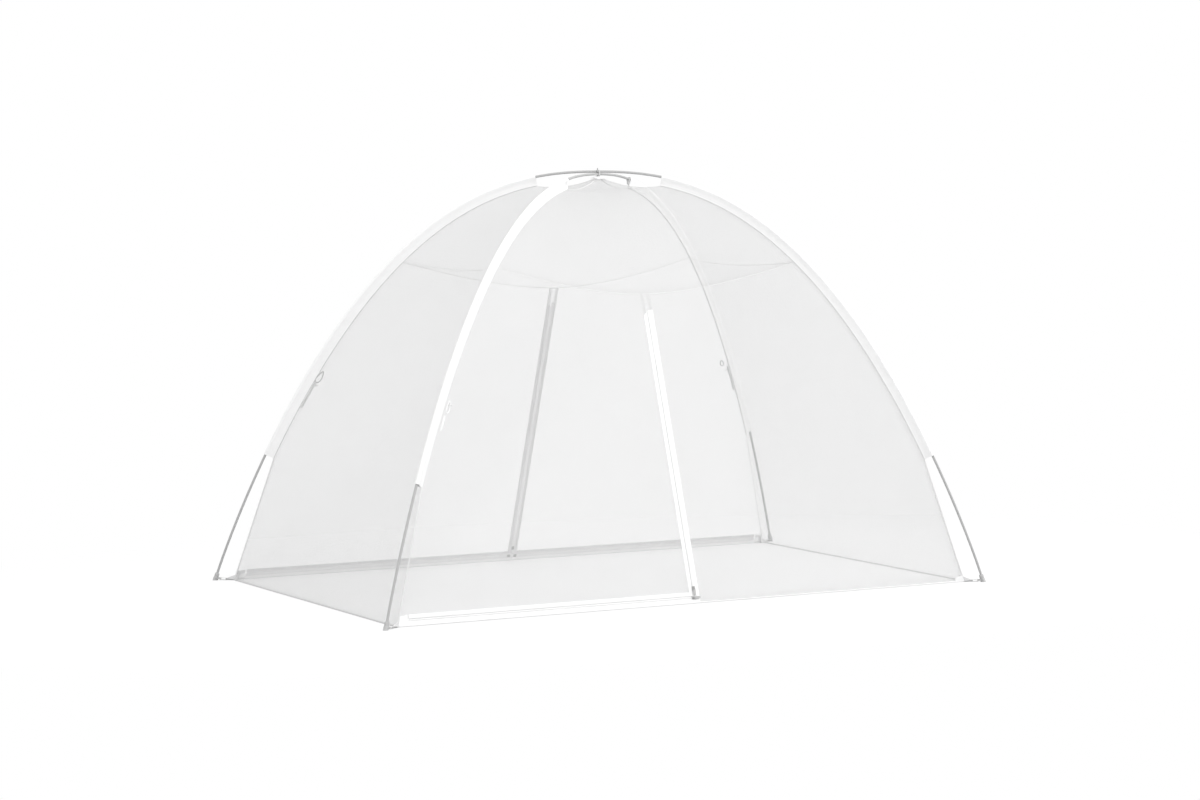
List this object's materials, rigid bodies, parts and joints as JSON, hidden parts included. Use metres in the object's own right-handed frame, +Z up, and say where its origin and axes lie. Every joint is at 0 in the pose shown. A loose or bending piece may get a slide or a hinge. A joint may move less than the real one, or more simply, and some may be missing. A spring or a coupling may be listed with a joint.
{
  "type": "mosquito net tent",
  "caption": "Free-standing rectangular mosquito net tent with crossed arched poles in sleeves, a sewn floor and zipped net doors front and back.",
  "frame": {"origin": "on the ground, under the middle of the tent, at the centre of its floor's underside", "axes": "+X along the long side, +Y from the front door to the back door, +Z up"},
  "size_m": [2.1344, 1.271, 1.3138],
  "materials": {
    "net": "fine white knitted mosquito net",
    "white_cloth": "plain white woven polyester",
    "floor_cloth": "plain white coated cloth",
    "pole": "grey glass fibre tube",
    "grey_plastic": "dark grey moulded plastic",
    "zip_metal": "dark grey enamelled zinc",
    "elastic": "grey elastic braid"
  },
  "bodies": {
    "tent": {"apex_tie": "elastic", "back_base_tape": "white_cloth", "back_wall_left": "net", "back_wall_right": "net", "back_zip_patch": "white_cloth", "floor_with_straps": "floor_cloth", "foot_cap_a": "grey_plastic", "foot_cap_b": "grey_plastic", "foot_cap_c": "grey_plastic", "foot_cap_d": "grey_plastic", "front_wall_left": "net", "front_wall_right": "net", "front_zip_tape": "white_cloth", "left_wall": "net", "peak_patch": "white_cloth", "pole_ac_section_1": "pole", "pole_ac_section_2": "pole", "pole_ac_section_3": "pole", "pole_ac_section_4": "pole", "pole_ac_section_5": "pole", "pole_ac_section_6": "pole", "pole_ac_section_7": "pole", "pole_bd_section_1": "pole", "pole_bd_section_2": "pole", "pole_bd_section_3": "pole", "pole_bd_section_4": "pole", "pole_bd_section_5": "pole", "pole_bd_section_6": "pole", "pole_bd_section_7": "pole", "pole_sleeve_a": "white_cloth", "pole_sleeve_b": "white_cloth", "pole_sleeve_c": "white_cloth", "pole_sleeve_d": "white_cloth", "right_wall": "net", "roof_back": "net", "roof_front": "net", "roof_left": "net", "roof_right": "net", "shock_cord_ac": "elastic", "shock_cord_bd": "elastic", "sleeve_clip_d": "grey_plastic", "tie_back_a": "elastic", "tie_back_b": "elastic", "tie_back_d": "elastic"},
    "front_flap": {"front_flap": "net", "front_flap_tape": "white_cloth"},
    "back_flap_left": {"back_flap_left": "net", "back_left_flap_tape": "white_cloth"},
    "back_flap_right": {"back_flap_right": "net", "back_right_flap_tape": "white_cloth"},
    "back_pull_base_left": {"back_pull_base_left": "zip_metal"},
    "back_pull_base_right": {"back_pull_base_right": "zip_metal"},
    "back_pull_up": {"back_pull_up": "zip_metal"},
    "back_slider_base_left": {"back_slider_base_left": "zip_metal"},
    "back_slider_base_right": {"back_slider_base_right": "zip_metal"},
    "back_slider_up": {"back_slider_up": "zip_metal"},
    "front_pull_base": {"front_pull_base": "zip_metal"},
    "front_pull_up": {"front_pull_up": "zip_metal"},
    "front_slider_base": {"front_slider_base": "zip_metal"},
    "front_slider_up": {"front_slider_up": "zip_metal"}
  },
  "joints": [
    {"name": "front_flap_fold", "type": "hinge", "parent": "tent", "child": "front_flap", "pos_m": [-0.50294, -0.45283, 0.4404], "axis": [-0.7357, -0.2111, -0.6436], "range_deg": [0, 150]},
    {"name": "back_flap_left_fold", "type": "hinge", "parent": "tent", "child": "back_flap_left", "pos_m": [-0.50294, 0.45283, 0.4404], "axis": [0.7357, -0.2111, 0.6436], "range_deg": [0, 150]},
    {"name": "back_flap_right_fold", "type": "hinge", "parent": "tent", "child": "back_flap_right", "pos_m": [0.50294, 0.45283, 0.4404], "axis": [0.7357, 0.2111, -0.6436], "range_deg": [0, 150]},
    {"name": "front_slider_up_slide", "type": "slide", "parent": "tent", "child": "front_slider_up", "axis": [0, 0.3117, 0.9502], "range_m": [0, 0.871]},
    {"name": "front_slider_base_slide", "type": "slide", "parent": "tent", "child": "front_slider_base", "axis": [-1, 0, 0], "range_m": [0, 0.957]},
    {"name": "front_pull_up_hinge", "type": "hinge", "parent": "front_slider_up", "child": "front_pull_up", "pos_m": [0, -0.58697, 0.04653], "axis": [-1, 0, 0], "range_deg": [0, 175]},
    {"name": "front_pull_base_hinge", "type": "hinge", "parent": "front_slider_base", "child": "front_pull_base", "pos_m": [-0.006, -0.59601, 0.01897], "axis": [0, -0.3117, -0.9502], "range_deg": [0, 175]},
    {"name": "back_slider_up_slide", "type": "slide", "parent": "back_flap_right", "child": "back_slider_up", "axis": [0, -0.3117, 0.9502], "range_m": [0, 0.823]},
    {"name": "back_slider_base_left_slide", "type": "slide", "parent": "tent", "child": "back_slider_base_left", "axis": [-1, 0, 0], "range_m": [0, 0.951]},
    {"name": "back_slider_base_right_slide", "type": "slide", "parent": "tent", "child": "back_slider_base_right", "axis": [1, 0, 0], "range_m": [0, 0.951]},
    {"name": "back_pull_up_hinge", "type": "hinge", "parent": "back_slider_up", "child": "back_pull_up", "pos_m": [0, 0.58697, 0.04653], "axis": [1, 0, 0], "range_deg": [0, 175]},
    {"name": "back_pull_base_left_hinge", "type": "hinge", "parent": "back_slider_base_left", "child": "back_pull_base_left", "pos_m": [-0.012, 0.59601, 0.01897], "axis": [0, 0.3117, -0.9502], "range_deg": [0, 150]},
    {"name": "back_pull_base_right_hinge", "type": "hinge", "parent": "back_slider_base_right", "child": "back_pull_base_right", "pos_m": [0.012, 0.59601, 0.01897], "axis": [0, -0.3117, 0.9502], "range_deg": [0, 150]}
  ]
}
